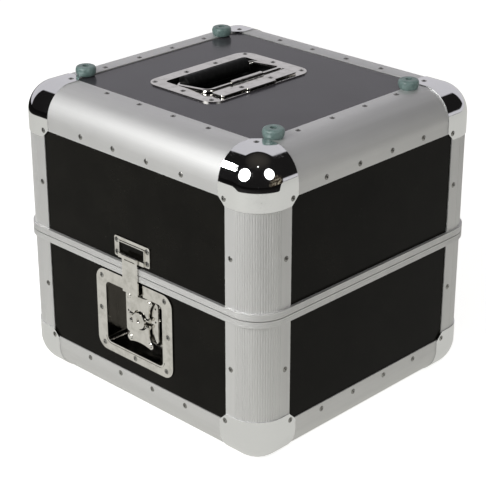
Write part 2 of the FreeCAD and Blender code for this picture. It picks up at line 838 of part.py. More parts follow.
def latch_hook():
    """The sliding plate with its window for the cam, the neck and the strap over the rails."""
    half = (hook_high - hook_low) / 2
    plate = slab(hook_half, half, hook_corner, hook_depth, hook_back)
    plate.translate(V(0, hook_low + half, 0))
    neck = box(-strap_half, strap_half, 0, strap_step + hook_sheet, hook_depth, hook_back)
    step = box(-strap_half, strap_half, strap_step, strap_step + hook_sheet, strap_outside, hook_back)
    roll_height = keeper_low + strap_end_rise - strap_roll_radius
    strap = box(-strap_half, strap_half, strap_step, roll_height, strap_outside, strap_inside)
    roll = Part.makeCylinder(strap_roll_radius, 2 * strap_half,
                             V(-strap_half, roll_height, strap_inside - strap_roll_radius), V(1, 0, 0))
    hook = plate.fuse([neck, step, strap, roll]).removeSplitter()
    window = slab(cam_offset + cam_radius + cam_side_gap, cam_radius + cam_lift_gap, cam_radius,
                  hook_depth - overrun, hook_back + overrun)
    window.translate(V(0, -cam_offset, 0))
    slot_height = keeper_low + strap_slot_rise
    slot = box(-strap_slot_length / 2, strap_slot_length / 2, slot_height - strap_slot_width / 2,
               slot_height + strap_slot_width / 2, strap_outside - overrun, strap_inside + overrun / 2)
    hook = hook.cut(window).cut(slot)
    for side in (-1, 1):
        for share in hook_hole_shares:
            height = hook_low + share * (hook_high - hook_low)
            start = V(side * hook_hole_x, height, hook_depth - overrun)
            hook = hook.cut(Part.makeCylinder(hook_hole_radius, 2 * overrun, start))
    return hook


def wing_pin(side, radius):
    return Part.makeCylinder(radius, 2 * wing_knuckle_outer,
                             V(-wing_knuckle_outer, side * wing_pin_offset, wing_pin_depth), V(1, 0, 0))


def latch_spindle():
    """Boss, cam, collar, journal and peened end in one, with the two wing pins as pieces of their own."""
    turned_parts = [
        Part.makeCylinder(boss_radius, boss_back - boss_front, V(0, 0, boss_front)),
        Part.makeCylinder(cam_radius, hook_back + collar_gap - boss_back, V(0, -cam_offset, boss_back)),
        Part.makeCylinder(collar_radius, latch_well_depth - floor_gap - hook_back - collar_gap,
                          V(0, 0, hook_back + collar_gap)),
        Part.makeCylinder(journal_radius, floor_back + floor_gap - hook_back, V(0, 0, hook_back)),
        Part.makeCylinder(peen_radius, peen_height, V(0, 0, floor_back + floor_gap)),
    ]
    body = turned_parts[0].fuse(turned_parts[1:]).removeSplitter()
    pit = Part.makeCylinder(boss_pit_radius, boss_pit_depth + overrun, V(0, 0, boss_front - overrun))
    body = body.cut(pit)
    pins = []
    for side in (-1, 1):
        body = body.cut(wing_pin(side, wing_pin_radius + wing_pin_seat_gap))
        pins.append(wing_pin(side, wing_pin_radius))
    return Part.makeCompound([body] + pins)


def wing_outline():
    """A fish tail below its hinge line, with a hollow for the boss."""
    corner = wing_tip_round * math.sqrt(0.5)
    centre_x = wing_tip_half - wing_tip_round
    centre_y = -wing_reach + wing_tip_round
    hinge = -wing_pin_offset
    waist_y = -wing_reach * wing_waist_share
    face = outline((-wing_root_half, hinge), [
        ((-wing_waist_half, waist_y), (-wing_tip_half, centre_y)),
        ((-centre_x - corner, centre_y - corner), (-centre_x, -wing_reach)),
        ((0, -wing_reach + wing_tail_dip), (centre_x, -wing_reach)),
        ((centre_x + corner, centre_y - corner), (wing_tip_half, centre_y)),
        ((wing_waist_half, waist_y), (wing_root_half, hinge)),
        (-wing_root_half, hinge),
    ])
    return face


def latch_wing(side):
    """One folding wing. The lower wing is drawn, and the upper one is its mirror image."""
    wing = wing_outline().extrude(V(0, 0, wing_sheet))
    wing.translate(V(0, 0, wing_front))
    hollow = Part.makeCylinder(wing_boss_clear, 2 * overrun, V(0, 0, wing_front - overrun))
    wing = wing.cut(hollow)
    length = wing_knuckle_outer - wing_knuckle_inner
    for turn in (-1, 1):
        start = wing_knuckle_inner if turn > 0 else -wing_knuckle_outer
        wing = wing.fuse(Part.makeCylinder(wing_knuckle_radius, length,
                                           V(start, -wing_pin_offset, wing_pin_depth), V(1, 0, 0)))
        spot = V(turn * (wing_tip_half - wing_tip_round), -wing_reach + wing_tip_round, wing_front)
        pad = Part.makeCone(wing_pad_radius, wing_pad_radius - wing_pad_height, wing_pad_height, spot, V(0, 0, -1))
        wing = wing.fuse(pad)
    bore = Part.makeCylinder(wing_pin_radius + wing_pin_gap, 2 * (wing_knuckle_outer + overrun),
                             V(-wing_knuckle_outer - overrun, -wing_pin_offset, wing_pin_depth), V(1, 0, 0))
    wing = wing.cut(bore).removeSplitter()
    return wing if side < 0 else wing.mirror(V(0, 0, 0), V(0, 1, 0))


def latch_keeper():
    """The riveted keeper on the lid: a plate with a rimmed window and a raised bar for the hook."""
    front = skin - keeper_sheet
    plate = slab(keeper_half, keeper_height / 2, keeper_corner, front, skin)
    plate.translate(V(0, keeper_low + keeper_height / 2, 0))
    low = keeper_low + keeper_window_rise
    high = low + keeper_window_height
    inner = keeper_window_half
    rim = box(-inner - keeper_rim, inner + keeper_rim, low, high + keeper_rim, front - keeper_rim_height, skin)
    bar_front = strap_inside + keeper_bar_clear
    bar_low = keeper_low + keeper_bar_rise
    bar_high = bar_low + keeper_bar_height
    bar_half = keeper_rivet_half - rivet_head_radius - keeper_bar_end_gap
    bar = box(-bar_half, bar_half, bar_low, bar_high, bar_front, skin)
    under = box(-strap_half, strap_half, keeper_low - overrun, bar_high,
                bar_front + keeper_bar_sheet, skin + overrun)
    window = box(-inner, inner, low, high, front - overrun, skin + overrun)
    return plate.fuse([rim, bar]).cut(window).cut(under).removeSplitter()


def latch_local_sites():
    """Rivets round the dish, drawn like the latch."""
    sites = []
    for share_x, share_y in latch_rivet_shares:
        spot = V(share_x * latch_plate_x / 2, latch_plate_rise + share_y * latch_half_z, flange_front)
        sites.append((spot, V(0, 0, -1), latch_sheet + board, False))
    return sites


def keeper_local_sites():
    sites = []
    for side in (-1, 1):
        for share in keeper_rivet_shares:
            spot = V(side * keeper_rivet_half, keeper_low + share * keeper_height, skin - keeper_sheet)
            sites.append((spot, V(0, 0, -1), board + keeper_sheet, False))
    return sites


def front_place(shape):
    """Stands a latch piece up and puts it on the front."""
    stood = standing(shape)
    stood.translate(V(0, -half_y, latch_height))
    return stood


def front_sites(sites):
    """The same for rivet sites, whose depth runs inwards."""
    placed = []
    for point, out, grip, flush in sites:
        spot = V(point.x, point.z - half_y, point.y + latch_height)
        placed.append((spot, V(out.x, out.z, out.y), grip, flush))
    return placed


def to_back(shape):
    """A copy turned half a turn about the middle of the case."""
    copy = shape.copy()
    copy.rotate(V(0, 0, 0), V(0, 0, 1), 180)
    return copy


def back_sites(sites):
    return [(V(-p.x, -p.y, p.z), V(-o.x, -o.y, o.z), grip, flush) for p, o, grip, flush in sites]


# Assembly

def corner_pieces(upright, corner):
    """The post and the ball corner of the front right, mirrored to all four places."""
    for place, flips in (("front_right", ""), ("front_left", "x"), ("back_right", "y"), ("back_left", "xy")):
        one_post = upright
        one_corner = corner
        for axis in flips:
            one_post = mirrored(one_post, axis)
            one_corner = mirrored(one_corner, axis)
        yield place, one_post, one_corner


def countersunk(corner, sites):
    """The ball corner with room for rivet heads that lie flush."""
    for point, out, grip, flush in sites:
        tool = Part.makeCylinder(rivet_head_radius + rivet_hole_gap, corner_sheet + overrun,
                                 point + out * overrun, out * -1)
        if flush and tool.BoundBox.intersect(corner.BoundBox):
            corner = corner.cut(tool)
    return corner


def half_shell(nodes, lid):
    """Boards, profiles, posts, ball corners, rail, rivets and foam of the lid or the base."""
    name = "lid" if lid else "base"
    local = front_sites(keeper_local_sites() if lid else latch_local_sites())
    sites = shell_rivet_sites(lid) + local + back_sites(local)
    if lid:
        sites += handle_rivet_sites() + hinge_rivet_sites()
    front, right = wall_boards(lid)
    flat = flat_board(lid)
    along_x = edge_along_x()
    along_y = edge_along_y()
    upright = post(parting + rail_height)
    corner = ball_corner()
    foam = foam_pad(lid)
    if lid:
        holes = foot_holes()
        opening = mouth_block(tray_sheet + handle_cutout_gap, board_under - overrun, z_high)
        flat = flat.cut(opening).cut(holes)
        along_y = along_y.cut(holes)
        foam = foam.cut(plate_block(0, board_under - 2 * foam_thickness, z_high))
    else:
        opening = latch_well(latch_wall + latch_cutout_gap, -overrun, floor_back + overrun)
        front = front.cut(front_place(opening))
        along_x, along_y, corner = [mirrored(s, "z") for s in (along_x, along_y, corner)]
        upright = mirrored(post(case_height - parting + rail_height), "z")
        corner = countersunk(corner, sites)
    pieces = {
        "top_board" if lid else "bottom_board": flat,
        "front_board": front,
        "back_board": to_back(front),
        "right_board": right,
        "left_board": mirrored(right, "x"),
        "front_edge": along_x,
        "back_edge": mirrored(along_x, "y"),
        "right_edge": along_y,
        "left_edge": mirrored(along_y, "x"),
    }
    for place, one_post, one_corner in corner_pieces(upright, corner):
        pieces[place + "_post"] = one_post
        pieces[place + "_corner"] = one_corner
    for piece_name, shape in pieces.items():
        nodes[name + "_" + piece_name] = drilled(shape, sites)
    nodes[name + "_closure_rail"] = closure_rail(lid)
    nodes[name + "_rivets"] = set_rivets(sites)
    nodes[name + "_foam"] = foam


def lid_hardware(nodes):
    """Feet, their screws and the handle."""
    feet = []
    screws = []
    for x, y in foot_places():
        for pieces, shape in ((feet, foot()), (screws, foot_screw())):
            shape.translate(V(x, y, z_high))
            pieces.append(shape)
    nodes["lid_feet"] = Part.makeCompound(feet)
    nodes["lid_foot_screws"] = Part.makeCompound(screws)
    sites = handle_rivet_sites() + hinge_rivet_sites()
    nodes["handle_plate"] = drilled(handle_plate(), sites)
    nodes["handle_tray"] = drilled(handle_tray(), sites)
    nodes["handle_hinge_strip"] = drilled(hinge_strip(), hinge_rivet_sites())
    nodes["handle_bail"] = bail()
    nodes["handle_grip"] = bail_grip()


def latches(nodes):
    """The two butterfly latches and their keepers."""
    pieces = {
        "dish": drilled(front_place(latch_dish()), front_sites(latch_local_sites())),
        "hook": front_place(latch_hook()),
        "spindle": front_place(latch_spindle()),
        "upper_wing": front_place(latch_wing(1)),
        "lower_wing": front_place(latch_wing(-1)),
        "keeper": drilled(front_place(latch_keeper()), front_sites(keeper_local_sites())),
    }
    for name, piece in pieces.items():
        nodes["front_latch_" + name] = piece
        nodes["back_latch_" + name] = to_back(piece)


def build():
    nodes = {}
    half_shell(nodes, False)
    half_shell(nodes, True)
    lid_hardware(nodes)
    latches(nodes)
    return nodes


os.makedirs("parts", exist_ok=True)
for node_name, shape in build().items():
    shape.exportStep(os.path.join("parts", node_name + ".step"))
    print(node_name, len(shape.Solids), "valid" if shape.isValid() else "NOT VALID")
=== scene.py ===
"""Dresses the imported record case: boards, profiles, chrome, rubber and foam, with a plain studio."""
import math

import bmesh
import bpy
from mathutils import Matrix, Vector


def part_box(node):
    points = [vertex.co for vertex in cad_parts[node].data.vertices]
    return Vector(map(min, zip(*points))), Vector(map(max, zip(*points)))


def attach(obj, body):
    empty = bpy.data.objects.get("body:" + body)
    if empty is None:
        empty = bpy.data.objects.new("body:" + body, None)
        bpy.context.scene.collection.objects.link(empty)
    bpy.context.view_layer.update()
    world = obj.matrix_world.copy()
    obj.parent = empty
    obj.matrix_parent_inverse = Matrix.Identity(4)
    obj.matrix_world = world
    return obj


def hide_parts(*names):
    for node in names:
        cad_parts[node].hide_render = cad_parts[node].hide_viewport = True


bl_info = {
    "name": "Record case",
    "version": (1, 0, 0),
    "blender": (4, 5, 0),
    "location": "View3D > Sidebar > Record case",
    "description": "Finishes, foam pads and studio for a record carrying case",
    "category": "Object",
}

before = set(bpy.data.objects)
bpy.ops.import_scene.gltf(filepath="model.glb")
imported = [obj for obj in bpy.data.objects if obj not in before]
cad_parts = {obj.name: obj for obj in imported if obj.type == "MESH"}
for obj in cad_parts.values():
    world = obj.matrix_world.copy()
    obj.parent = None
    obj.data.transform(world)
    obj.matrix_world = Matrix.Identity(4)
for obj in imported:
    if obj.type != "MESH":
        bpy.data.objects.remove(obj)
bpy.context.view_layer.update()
MM = 0.001
HALVES = ("base", "lid")
SIDES = ("front", "back")
PLACES = ("front_right", "front_left", "back_right", "back_left")

# The photo's camera, in metres and degrees: azimuth from +Y towards +X, dip below the horizon
CAMERA_PLACE = (1.1525, -1.1848, 0.8982)
CAMERA_AZIMUTH = -44.37
CAMERA_DIP = 24.16
CAMERA_ROLL = 0.05
CAMERA_LENS_MM = 115.42
SENSOR_MM = 36
VIEW_END = 50

# Lamps face the near ball corner. Each has its azimuth from -Y towards +X and its elevation in
# degrees, its distance, shape, width and height in metres, and the setting that holds its power.
LAMP_TARGET = (0.16, -0.15, 0.32)
LAMPS = (
    ("front lamp", -9, 30, 1.6, "DISK", 1.1, 1.1, "front_power"),
    ("right lamp", 89, 35, 1.6, "DISK", 0.95, 0.95, "right_power"),
    ("left lamp", -50, 30, 1.5, "RECTANGLE", 0.028, 0.42, "left_power"),
    ("small lamp", 43, 65, 1.6, "DISK", 0.12, 0.12, "small_power"),
)

# The room that metal mirrors, with azimuths from -Y towards +X in degrees. Each pair is a soft edge.
# The backdrop is measured on a sheet a metre away, round patches by the cosine of their angle, and
# the card's top and the ceiling by the sine of their elevation.
BACKDROP_AZIMUTH = 225
BACKDROP_TOP = {"From Min": 1.3, "From Max": 1.36}
BACKDROP_CLIMB = 0.24
BACKDROP_WIDTH = {"From Min": 1.6, "From Max": 1.8}
CARD_PLACE = (155, -2)
CARD_SIZE = {"From Min": 0.89, "From Max": 0.92}
CARD_TOP = {"From Min": 0.06, "From Max": 0.1}
CLUTTER_PLACE = (106, -2)
CLUTTER_SIZE = {"From Min": 0.88, "From Max": 0.95}
CLUTTER_SPAN = {"From Min": 0.5, "From Max": 0.62}
CLUTTER_SCALE = 9.0
CEILING_EDGE = {"From Min": 0.8, "From Max": 1.0}

# The paper floor that metal mirrors, in metres from below the near ball corner
PAPER_END = {"From Min": 0.84, "From Max": 0.88}
FRONT_AZIMUTH = 45
FRONT_EDGE = {"From Min": 0.1, "From Max": 0.35}
BESIDE_EXTRA = 0.5
BACK_AZIMUTH = 180
BACK_EDGE = {"From Min": 0.45, "From Max": 0.6}
BACK_EXTRA = 5.0

# The floor itself: half its width, its drop below the case, and the glow that lifts it to white
FLOOR_REACH = 6.0
FLOOR_DROP = 0.2 * MM
WHITE_GLOW = 0.62

# Points and rings in the foam pads
LOOP_STEPS = 12
PAD_RINGS = 16
RIM_RINGS = 5

# Socket numbers of a colour Mix node, whose sockets share their names
SHARE, FIRST, SECOND, MIXED = 0, 6, 7, 2

# Most values of a noise lie in this span
NOISE_SPAN = {"From Min": 0.3, "From Max": 0.7}

# Turns a rising value into a share that falls from one to none
FALLING = {"To Min": 1.0, "To Max": 0.0}


def linear(text):
    """A hex sRGB colour as linear RGBA."""
    channels = [int(text[i:i + 2], 16) / 255 for i in (0, 2, 4)]
    return [c / 12.92 if c <= 0.04045 else ((c + 0.055) / 1.055) ** 2.4 for c in channels] + [1.0]


def add(tree, kind, inputs=None, out=0, **settings):
    """Adds a shader node with its settings, sets or links its inputs, and gives the output asked for."""
    node = tree.nodes.new("ShaderNode" + kind)
    for name, value in settings.items():
        setattr(node, name, value)
    for name, value in (inputs or {}).items():
        if isinstance(value, bpy.types.NodeSocket):
            tree.links.new(value, node.inputs[name])
        else:
            node.inputs[name].default_value = value
    return node.outputs[out] if node.outputs else None


def start_material(name):
    """An empty node material, its tree, and the object's own coordinates in metres."""
    material = bpy.data.materials.new(name)
    material.use_nodes = True
    tree = material.node_tree
    tree.nodes.clear()
    return material, tree, add(tree, "TexCoord", out="Object")


def per_metre(*sizes_mm):
    """How many pattern steps of the given real sizes go into a metre."""
    steps = [1 / (size * MM) for size in sizes_mm]
    return steps[0] if len(steps) == 1 else steps


# Materials

def laminate_material(name, board, dark, light, gloss):
    """Black phenolic film on plywood, hot-pressed: near black, satin, and it mirrors at a low angle.

    The film's texture is too fine to show, so it is drawn 0.9 mm wide.
    """
    film_mm = 0.9
    cloud_mm = 60
    speck_mm = 1.4
    wipe_mm = (3, 3, 160)
    low = board.board_roughness
    high = low + 0.06

    material, tree, place = start_material(name)
    film = add(tree, "TexNoise", {"Vector": place, "Scale": per_metre(film_mm), "Detail": 2.0})
    cloud = add(tree, "TexNoise", {"Vector": place, "Scale": per_metre(cloud_mm), "Detail": 4.0,
                                   "Roughness": 0.6})
    specks = add(tree, "TexNoise", {"Vector": place, "Scale": per_metre(speck_mm), "Detail": 0.0})
    wipe_place = add(tree, "Mapping", {"Vector": place, "Scale": per_metre(*wipe_mm)})
    wipes = add(tree, "TexNoise", {"Vector": wipe_place, "Scale": 1.0, "Detail": 3.0})
    tone = add(tree, "MapRange", {"Value": cloud, **NOISE_SPAN})
    colour = add(tree, "Mix", {SHARE: tone, FIRST: dark, SECOND: light}, MIXED, data_type="RGBA")
    dust = add(tree, "MapRange", {"Value": specks, "From Min": 0.82, "From Max": 0.88, "To Max": 0.4})
    colour = add(tree, "Mix", {SHARE: dust, FIRST: colour, SECOND: board.dust}, MIXED, data_type="RGBA")
    rough = add(tree, "MapRange", {"Value": cloud, **NOISE_SPAN, "To Min": low, "To Max": high})
    wiped = add(tree, "MapRange", {"Value": wipes, **NOISE_SPAN, "To Min": -0.02, "To Max": 0.03})
    rough = add(tree, "Math", {0: rough, 1: wiped})
    normal = add(tree, "Bump", {"Height": film, "Strength": 1.0, "Distance": board.film_depth * MM})
    surface = add(tree, "BsdfPrincipled", {"Base Color": colour, "Roughness": rough, "Normal": normal,
                                           "Specular IOR Level": gloss})
    add(tree, "OutputMaterial", {"Surface": surface})
    return material


def profile_material(name, metal, along):
    """Anodised aluminium, extruded and brushed: an even pale sheen with fine lines along its length.

    Real brushed lines are too fine to show, so they are drawn 0.8 mm wide.
    """
    line_mm = [0.8] * 3
    band_mm = [14] * 3
    line_mm["xyz".index(along)] = 180
    band_mm["xyz".index(along)] = 300
    cloud_mm = 26
    low = metal.profile_roughness
    high = low + 0.05

    material, tree, place = start_material(name)
    line_place = add(tree, "Mapping", {"Vector": place, "Scale": per_metre(*line_mm)})
    band_place = add(tree, "Mapping", {"Vector": place, "Scale": per_metre(*band_mm)})
    lines = add(tree, "TexNoise", {"Vector": line_place, "Scale": 1.0, "Detail": 2.0, "Roughness": 0.6})
    bands = add(tree, "TexNoise", {"Vector": band_place, "Scale": 1.0, "Detail": 2.0})
    cloud = add(tree, "TexNoise", {"Vector": place, "Scale": per_metre(cloud_mm), "Detail": 5.0,
                                   "Roughness": 0.62})
    tone = add(tree, "MapRange", {"Value": bands, **NOISE_SPAN})
    colour = add(tree, "Mix", {SHARE: tone, FIRST: metal.profile_dark, SECOND: metal.profile_light},
                 MIXED, data_type="RGBA")
    rough = add(tree, "MapRange", {"Value": cloud, **NOISE_SPAN, "To Min": low, "To Max": high})
    brushed = add(tree, "MapRange", {"Value": lines, **NOISE_SPAN, "To Min": -0.03, "To Max": 0.03})
    rough = add(tree, "Math", {0: rough, 1: brushed})
    normal = add(tree, "Bump", {"Height": lines, "Strength": 1.0, "Distance": metal.brush_depth * MM})
    surface = add(tree, "BsdfPrincipled", {"Base Color": colour, "Metallic": 1.0, "Roughness": rough,
                                           "Normal": normal})
    add(tree, "OutputMaterial", {"Surface": surface})
    return material


def ball_corner_material(metal):
    """Steel pressed to a ball, nickel-chrome plated and polished: a mirror with faint orange peel."""
    peel_mm = 5
    peel_depth_mm = 0.012
    haze_mm = 20
    spot_mm = 2.2
    low = metal.chrome_roughness
    high = low + 0.08

    material, tree, place = start_material("Nickel chrome on pressed steel, polished")
    peel = add(tree, "TexNoise", {"Vector": place, "Scale": per_metre(peel_mm), "Detail": 2.0})
    haze = add(tree, "TexNoise", {"Vector": place, "Scale": per_metre(haze_mm), "Detail": 5.0,
                                  "Roughness": 0.65})
    spots = add(tree, "TexNoise", {"Vector": place, "Scale": per_metre(spot_mm), "Detail": 2.0})
    rough = add(tree, "MapRange", {"Value": haze, "From Min": 0.45, "From Max": 0.7,
                                   "To Min": low, "To Max": high})
    worn = add(tree, "MapRange", {"Value": spots, "From Min": 0.62, "From Max": 0.75, "To Max": 0.12})
    rough = add(tree, "Math", {0: rough, 1: worn})
    normal = add(tree, "Bump", {"Height": peel, "Strength": 1.0, "Distance": peel_depth_mm * MM})
    surface = add(tree, "BsdfPrincipled", {"Base Color": metal.chrome, "Metallic": 1.0,
                                           "Roughness": rough, "Normal": normal})
    add(tree, "OutputMaterial", {"Surface": surface})
    return material


def plate_material(metal, name, roughness, ripple_mm, depth_mm, drawn=False):
    """Bright plate on stamped steel: it mirrors, with the slight ripple and dull patches of thin sheet.

    Where the sheet is drawn to a dish, its walls get a darker colour as painted shade in the recess.
    """
    tarnish_mm = 12
    grain_mm = (0.6, 8, 8)

    material, tree, place = start_material(name)
    ripple = add(tree, "TexNoise", {"Vector": place, "Scale": per_metre(ripple_mm), "Detail": 3.0})
    tarnish = add(tree, "TexNoise", {"Vector": place, "Scale": per_metre(tarnish_mm), "Detail": 5.0,
                                     "Roughness": 0.65})
    grain_place = add(tree, "Mapping", {"Vector": place, "Scale": per_metre(*grain_mm)})
    grain = add(tree, "TexNoise", {"Vector": grain_place, "Scale": 1.0, "Detail": 2.0})
    tone = add(tree, "MapRange", {"Value": tarnish, "From Min": 0.45, "From Max": 0.8})
    colour = add(tree, "Mix", {SHARE: tone, FIRST: metal.plate, SECOND: metal.plate_tarnish}, MIXED,
                 data_type="RGBA")
    if drawn:
        # The dishes open along Y, so a wall is where the surface doesn't face along Y
        facing = add(tree, "SeparateXYZ", {"Vector": add(tree, "TexCoord", out="Normal")}, "Y")
        facing = add(tree, "Math", {0: facing}, operation="ABSOLUTE")
        wall = add(tree, "MapRange", {"Value": facing, "From Min": 0.3, "From Max": 0.8, **FALLING})
        # Painted shade: the walls of the dish are darkened, standing in for the shade inside it
        colour = add(tree, "Mix", {SHARE: wall, FIRST: colour, SECOND: metal.dish_wall_shade}, MIXED,
                     data_type="RGBA")
    rough = add(tree, "MapRange", {"Value": tarnish, "From Min": 0.35, "From Max": 0.75,
                                   "To Min": roughness - 0.04, "To Max": roughness + 0.06})
    lines = add(tree, "MapRange", {"Value": grain, **NOISE_SPAN, "To Min": -0.02, "To Max": 0.03})
    rough = add(tree, "Math", {0: rough, 1: lines})
    normal = add(tree, "Bump", {"Height": ripple, "Strength": 1.0, "Distance": depth_mm * MM})
    surface = add(tree, "BsdfPrincipled", {"Base Color": colour, "Metallic": 1.0, "Roughness": rough,
                                           "Normal": normal})
    add(tree, "OutputMaterial", {"Surface": surface})
    return material


def rivet_material(metal):
    """Plain steel, cold headed: grey, a little duller than the plate round it, with grime."""
    grime_mm = 2.5
    skin_mm = 0.5
    skin_depth_mm = 0.01

    material, tree, place = start_material("Steel, cold headed")
    grime = add(tree, "TexNoise", {"Vector": place, "Scale": per_metre(grime_mm), "Detail": 3.0})
    skin = add(tree, "TexNoise", {"Vector": place, "Scale": per_metre(skin_mm), "Detail": 2.0})
    tone = add(tree, "MapRange", {"Value": grime, **NOISE_SPAN})
    colour = add(tree, "Mix", {SHARE: tone, FIRST: metal.rivet_light, SECOND: metal.rivet_dark}, MIXED,
                 data_type="RGBA")
    rough = add(tree, "MapRange", {"Value": grime, **NOISE_SPAN, "To Min": 0.25, "To Max": 0.45})
    normal = add(tree, "Bump", {"Height": skin, "Strength": 1.0, "Distance": skin_depth_mm * MM})
    surface = add(tree, "BsdfPrincipled", {"Base Color": colour, "Metallic": 1.0, "Roughness": rough,
                                           "Normal": normal})
    add(tree, "OutputMaterial", {"Surface": surface})
    return material


def rubber_material(name, light, dark, roughness, grain_mm, grain_depth_mm, gloss):
    """Moulded rubber: soft highlights, a fine matt skin and pale bloom in patches."""
    bloom_mm = 6

    material, tree, place = start_material(name)
    skin = add(tree, "TexNoise", {"Vector": place, "Scale": per_metre(grain_mm), "Detail": 3.0})
    bloom = add(tree, "TexNoise", {"Vector": place, "Scale": per_metre(bloom_mm), "Detail": 4.0,
                                   "Roughness": 0.6})
    tone = add(tree, "MapRange", {"Value": bloom, **NOISE_SPAN})
    colour = add(tree, "Mix", {SHARE: tone, FIRST: dark, SECOND: light}, MIXED, data_type="RGBA")
    rough = add(tree, "MapRange", {"Value": bloom, **NOISE_SPAN,
                                   "To Min": roughness - 0.06, "To Max": roughness + 0.1})
    normal = add(tree, "Bump", {"Height": skin, "Strength": 1.0, "Distance": grain_depth_mm * MM})
    surface = add(tree, "BsdfPrincipled", {"Base Color": colour, "Roughness": rough, "Normal": normal,
                                           "Specular IOR Level": gloss})
    add(tree, "OutputMaterial", {"Surface": surface})
    return material


def tray_material(soft):
    """Injection-moulded black ABS: dull, with a spark texture, drawn at 0.5 mm so that it shows. Its
    colour is darker still as painted shade in the handle's recess.
    """
    spark_mm = 0.5
    spark_depth_mm = 0.03
    shade_mm = 18

    material, tree, place = start_material("Black ABS, spark textured")
    spark = add(tree, "TexNoise", {"Vector": place, "Scale": per_metre(spark_mm), "Detail": 2.0})
    shade = add(tree, "TexNoise", {"Vector": place, "Scale": per_metre(shade_mm), "Detail": 3.0})
    tone = add(tree, "MapRange", {"Value": shade, **NOISE_SPAN})
    colour = add(tree, "Mix", {SHARE: tone, FIRST: soft.tray_shaded_dark, SECOND: soft.tray_shaded_light}, MIXED,
                 data_type="RGBA")
    rough = add(tree, "MapRange", {"Value": shade, **NOISE_SPAN, "To Min": 0.5, "To Max": 0.62})
    normal = add(tree, "Bump", {"Height": spark, "Strength": 1.0, "Distance": spark_depth_mm * MM})
    surface = add(tree, "BsdfPrincipled", {"Base Color": colour, "Roughness": rough, "Normal": normal,
                                           "Specular IOR Level": 0.15})
    add(tree, "OutputMaterial", {"Surface": surface})
    return material


def foam_material(soft):
    """Polyether foam, cut: open pores about a millimetre wide in a dull dark grey, with painted shade in
    each pore.
    """
    pore_mm = 1.1
    pore_depth_mm = 0.35
    shade_mm = 25

    material, tree, place = start_material("Polyether foam, cut")
    pores = add(tree, "TexVoronoi", {"Vector": place, "Scale": per_metre(pore_mm)})
    shade = add(tree, "TexNoise", {"Vector": place, "Scale": per_metre(shade_mm), "Detail": 4.0})
    # Painted shade: each pore's middle is darkened, standing in for the shade inside the open cell
    depth = add(tree, "MapRange", {"Value": pores, "From Min": 0.1, "From Max": 0.6, **FALLING})
    colour = add(tree, "Mix", {SHARE: depth, FIRST: soft.foam_light, SECOND: soft.foam_pore_shade}, MIXED,
                 data_type="RGBA")
    rough = add(tree, "MapRange", {"Value": shade, **NOISE_SPAN, "To Min": 0.85, "To Max": 0.98})
    normal = add(tree, "Bump", {"Height": pores, "Strength": 1.0, "Distance": pore_depth_mm * MM})
    surface = add(tree, "BsdfPrincipled", {"Base Color": colour, "Roughness": rough, "Normal": normal,
                                           "Specular IOR Level": 0.1})
    add(tree, "OutputMaterial", {"Surface": surface})
    return material


def dress(material, names):
    """Gives CAD nodes their finish."""
    for name in names:
        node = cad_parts[name]
        node.data.materials.clear()
        node.data.materials.append(material)


# Foam pads, lofted between an outer and an inner outline

def rounded_loop(centre_x, centre_y, half_x, half_y, radius):
    """Points round a rectangle with round corners, anticlockwise, as many on each corner and side."""
    points = []
    corners = ((1, 1, 0), (-1, 1, 90), (-1, -1, 180), (1, -1, 270))
    for sign_x, sign_y, start in corners:
        mid_x = centre_x + sign_x * (half_x - radius)
        mid_y = centre_y + sign_y * (half_y - radius)
        for i in range(LOOP_STEPS + 1):
            angle = math.radians(start + 90 * i / LOOP_STEPS)
            points.append(Vector((mid_x + radius * math.cos(angle), mid_y + radius * math.sin(angle), 0)))
    loop = []
    for i, point in enumerate(points):
        loop.append(point)
        following = points[(i + 1) % len(points)]
        if (i + 1) % (LOOP_STEPS + 1) == 0:
            loop += [point.lerp(following, j / LOOP_STEPS) for j in range(1, LOOP_STEPS)]
    return loop


def make_foam_pad(name, outer, inner, low, high, soft):
    """A closed pad between two outlines. Its edges are rounded and its face has shallow glue dimples."""
    mesh = bpy.data.meshes.new(name)
    bm = bmesh.new()
    edge_round = soft.edge_round
    pitch = soft.dimple_pitch
    middle = (low + high) / 2
    half = (high - low) / 2
    count = len(outer)
    width = min((a - b).length for a, b in zip(outer, inner))

    def rise(share, point):
        """Half the pad's thickness at a point, this share of the way from the outer outline."""
        reach = min(share, 1 - share) * width
        swell = min(reach / edge_round, 1.0)
        bow = math.sqrt(max(0.0, 1 - (1 - swell) ** 2))
        dent = 0.5 * (math.cos(math.tau * point.x / pitch) * math.cos(math.tau * point.y / pitch))
        return half * bow - soft.dimple_depth * max(0.0, dent) * swell

    rim = edge_round / width
    shares = [0.0] + [rim * (i / RIM_RINGS) ** 2 for i in range(1, RIM_RINGS)]
    shares += [rim + (1 - 2 * rim) * i / PAD_RINGS for i in range(PAD_RINGS + 1)]
    shares += [1 - share for share in reversed(shares[:RIM_RINGS])]
    layers = []
    for side in (1, -1):
        layer = []
        for share in shares:
            ring = []
            for a, b in zip(outer, inner):
                point = a.lerp(b, share)
                height = rise(share, point)
                ring.append(bm.verts.new((point.x, point.y, middle + side * height)))
            layer.append(ring)
        layers.append(layer)
    for layer, turn in zip(layers, (False, True)):
        for near, far in zip(layer, layer[1:]):
            for i in range(count):
                j = (i + 1) % count
                face = (near[i], near[j], far[j], far[i])
                bm.faces.new(face[::-1] if turn else face)
    for index in (0, -1):
        for i in range(count):
            bmesh.ops.pointmerge(bm, verts=[layers[0][index][i], layers[1][index][i]],
                                 merge_co=layers[0][index][i].co)
    bmesh.ops.recalc_face_normals(bm, faces=bm.faces)
    bm.to_mesh(mesh)
    bm.free()
    mesh.shade_smooth()
    pad = bpy.data.objects.new(name, mesh)
    bpy.context.collection.objects.link(pad)
    return pad


def place_foam(body, node, pad, material):
    """Sets a pad on its body, in place of the plain one from the CAD."""
    pad.data.materials.append(material)
    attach(pad, body)
    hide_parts(node)


# Settings that a user would change

COLOUR = {"subtype": "COLOR", "size": 4, "min": 0, "max": 1}


